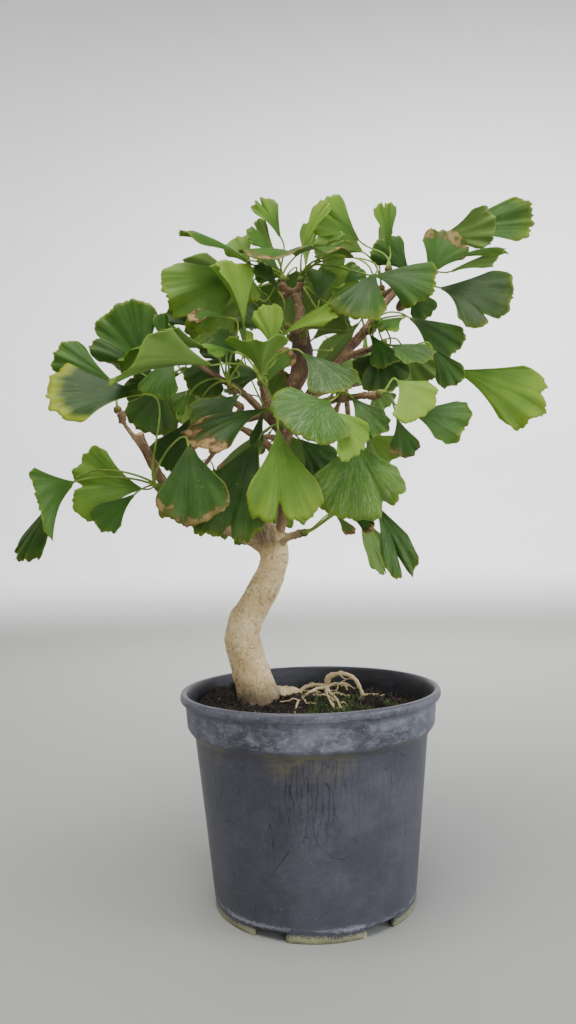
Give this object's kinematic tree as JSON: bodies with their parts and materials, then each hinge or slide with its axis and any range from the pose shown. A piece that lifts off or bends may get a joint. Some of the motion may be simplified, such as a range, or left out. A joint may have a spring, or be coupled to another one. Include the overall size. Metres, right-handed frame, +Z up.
{
  "type": "ginkgo bonsai in a nursery pot",
  "caption": "Small ginkgo tree with a bent tan trunk and fan-shaped green leaves, rooted in dark soil in a weathered round plastic nursery pot.",
  "frame": {"origin": "on the ground under the middle of the whole, crown included, which is 15 mm along -X and 23 mm along +Y from the pot's axis", "axes": "+Z up along the pot's axis; the front of the tree looks along -Y"},
  "size_m": [0.3548, 0.2447, 0.4793],
  "materials": {
    "pot_plastic": "weathered, scuffed pale at the rim",
    "potting_soil": "damp crumbs",
    "bark": "rough, finely fissured",
    "leaf": "satin"
  },
  "bodies": {
    "root": {"pot": "pot_plastic", "soil": "potting_soil", "spray_back_crown_left": "leaf", "spray_back_crown_right": "leaf", "spray_back_front_far_right": "leaf", "spray_back_front_low": "leaf", "spray_back_front_right": "leaf", "spray_back_front_whorl": "leaf", "spray_back_knob_front": "leaf", "spray_back_knob_left": "leaf", "spray_back_left_inner": "leaf", "spray_back_left_low": "leaf", "spray_back_left_upper": "leaf", "spray_back_low_twig": "leaf", "spray_back_right_crown": "leaf", "spray_back_right_front": "leaf", "spray_back_right_low": "leaf", "spray_back_right_tip": "leaf", "spray_back_right_upper": "leaf", "spray_crown_left": "leaf", "spray_crown_right": "leaf", "spray_front_far_right": "leaf", "spray_front_low": "leaf", "spray_front_right": "leaf", "spray_front_whorl": "leaf", "spray_knob_front": "leaf", "spray_knob_left": "leaf", "spray_left_inner": "leaf", "spray_left_low": "leaf", "spray_left_tip": "leaf", "spray_left_upper": "leaf", "spray_low_twig": "leaf", "spray_right_crown": "leaf", "spray_right_front": "leaf", "spray_right_low": "leaf", "spray_right_tip": "leaf", "spray_right_upper": "leaf", "trunk": "bark"}
  },
  "joints": []
}
